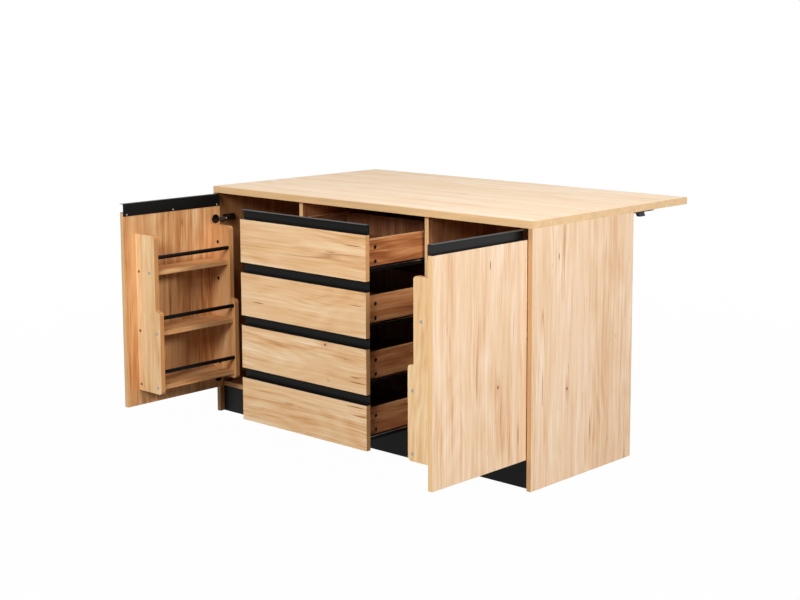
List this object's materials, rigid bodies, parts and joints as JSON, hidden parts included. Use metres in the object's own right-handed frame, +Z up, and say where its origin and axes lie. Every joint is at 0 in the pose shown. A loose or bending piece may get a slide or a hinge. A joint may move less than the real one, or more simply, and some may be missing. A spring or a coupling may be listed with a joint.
{
  "type": "kitchen island unit",
  "caption": "Kitchen island unit: wood-laminate carcass with drawers between two cupboards, door racks, black grip handles and a drop leaf.",
  "frame": {"origin": "floor level, centre of the carcass's footprint, under the middle plinth brace", "axes": "+X along the width to the right seen from the front, +Y from the fronts to the drop leaf, +Z up"},
  "size_m": [1.6, 1.378, 0.905],
  "materials": {
    "worktop_laminate": "satin light wood laminate",
    "panel_laminate": "satin wood laminate with grain",
    "front_laminate": "satin wood laminate with cathedral grain",
    "inner_laminate": "satin wood laminate",
    "kick_laminate": "black laminate",
    "handle_metal": "black satin",
    "runner_metal": "black powder coat",
    "bracket_metal": "black powder coat",
    "hinge_metal": "dark plated steel",
    "bright_steel": "zinc-plated steel",
    "screw_metal": "zinc-plated steel",
    "lever_plastic": "black moulded plastic"
  },
  "bodies": {
    "carcass": {"worktop": "worktop_laminate", "side_panel_left": "panel_laminate", "side_panel_right": "panel_laminate", "partition_left": "inner_laminate", "partition_right": "inner_laminate", "bottom_panel": "inner_laminate", "back_panel": "panel_laminate", "toe_kick": "kick_laminate", "plinth_braces": "inner_laminate", "shelves": "inner_laminate", "shelf_pins": "bright_steel", "cabinet_runners": "runner_metal", "hinge_arms": "hinge_metal", "leaf_brackets": "bracket_metal", "leaf_hinge_plates": "bright_steel"},
    "hinge_link_left": {"hinge_links_left": "hinge_metal"},
    "hinge_link_right": {"hinge_links_right": "hinge_metal"},
    "door_left": {"door_left": "panel_laminate", "door_left_handle": "handle_metal", "door_left_rack_sides": "panel_laminate", "door_left_rack_shelves": "panel_laminate", "door_left_rack_rails": "handle_metal", "door_left_hinge_cups": "hinge_metal", "door_left_screws": "screw_metal"},
    "door_right": {"door_right": "panel_laminate", "door_right_handle": "handle_metal", "door_right_rack_sides": "panel_laminate", "door_right_rack_shelves": "panel_laminate", "door_right_rack_rails": "handle_metal", "door_right_hinge_cups": "hinge_metal", "door_right_screws": "screw_metal"},
    "drawer_1": {"drawer_1_front": "front_laminate", "drawer_1_handle": "handle_metal", "drawer_1_sides": "inner_laminate", "drawer_1_back": "inner_laminate", "drawer_1_bottom": "inner_laminate", "drawer_1_runners": "runner_metal"},
    "drawer_2": {"drawer_2_front": "front_laminate", "drawer_2_handle": "handle_metal", "drawer_2_sides": "inner_laminate", "drawer_2_back": "inner_laminate", "drawer_2_bottom": "inner_laminate", "drawer_2_runners": "runner_metal"},
    "drawer_3": {"drawer_3_front": "front_laminate", "drawer_3_handle": "handle_metal", "drawer_3_sides": "inner_laminate", "drawer_3_back": "inner_laminate", "drawer_3_bottom": "inner_laminate", "drawer_3_runners": "runner_metal"},
    "drawer_4": {"drawer_4_front": "front_laminate", "drawer_4_handle": "handle_metal", "drawer_4_sides": "inner_laminate", "drawer_4_back": "inner_laminate", "drawer_4_bottom": "inner_laminate", "drawer_4_runners": "runner_metal"},
    "drop_leaf": {"leaf": "worktop_laminate", "leaf_hinge_flaps": "bright_steel", "leaf_arms": "bracket_metal"},
    "lever_left": {"release_lever_left": "lever_plastic"},
    "lever_right": {"release_lever_right": "lever_plastic"}
  },
  "joints": [
    {"name": "door_left_hinge", "type": "hinge", "parent": "carcass", "child": "door_left", "pos_m": [-0.781, -0.287, 0.4745], "axis": [0, 0, 1], "range_deg": [-5, 90]},
    {"name": "door_right_hinge", "type": "hinge", "parent": "carcass", "child": "door_right", "pos_m": [0.781, -0.287, 0.4745], "axis": [0, 0, -1], "range_deg": [-5, 90]},
    {"name": "hinge_link_left_turn", "type": "hinge", "parent": "carcass", "child": "hinge_link_left", "pos_m": [-0.7545, -0.261, 0.457], "axis": [0, 0, 1], "range_deg": [-5, 90]},
    {"name": "hinge_link_right_turn", "type": "hinge", "parent": "carcass", "child": "hinge_link_right", "pos_m": [0.7545, -0.261, 0.457], "axis": [0, 0, -1], "range_deg": [-5, 90]},
    {"name": "drawer_1_slide", "type": "slide", "parent": "carcass", "child": "drawer_1", "axis": [0, -1, 0], "range_m": [-0.28, 0.06]},
    {"name": "drawer_2_slide", "type": "slide", "parent": "carcass", "child": "drawer_2", "axis": [0, -1, 0], "range_m": [-0.28, 0.06]},
    {"name": "drawer_3_slide", "type": "slide", "parent": "carcass", "child": "drawer_3", "axis": [0, -1, 0], "range_m": [-0.28, 0.06]},
    {"name": "drawer_4_slide", "type": "slide", "parent": "carcass", "child": "drawer_4", "axis": [0, -1, 0], "range_m": [-0.28, 0.06]},
    {"name": "drop_leaf_hinge", "type": "hinge", "parent": "carcass", "child": "drop_leaf", "pos_m": [0, 0.2865, 0.874], "axis": [-1, 0, 0], "range_deg": [0, 90]},
    {"name": "release_lever_left_press", "type": "hinge", "parent": "drop_leaf", "child": "lever_left", "pos_m": [-0.7685, 0.3485, 0.8735], "axis": [1, 0, 0], "range_deg": [0, 6], "stiffness_Nm_per_rad": 1, "springref_deg": -5.73},
    {"name": "release_lever_right_press", "type": "hinge", "parent": "drop_leaf", "child": "lever_right", "pos_m": [0.7685, 0.3485, 0.8735], "axis": [1, 0, 0], "range_deg": [0, 6], "stiffness_Nm_per_rad": 1, "springref_deg": -5.73}
  ],
  "couplings": [
    {"joint": "hinge_link_left_turn", "follows": "door_left_hinge", "ratio": 1},
    {"joint": "hinge_link_right_turn", "follows": "door_right_hinge", "ratio": 1}
  ]
}
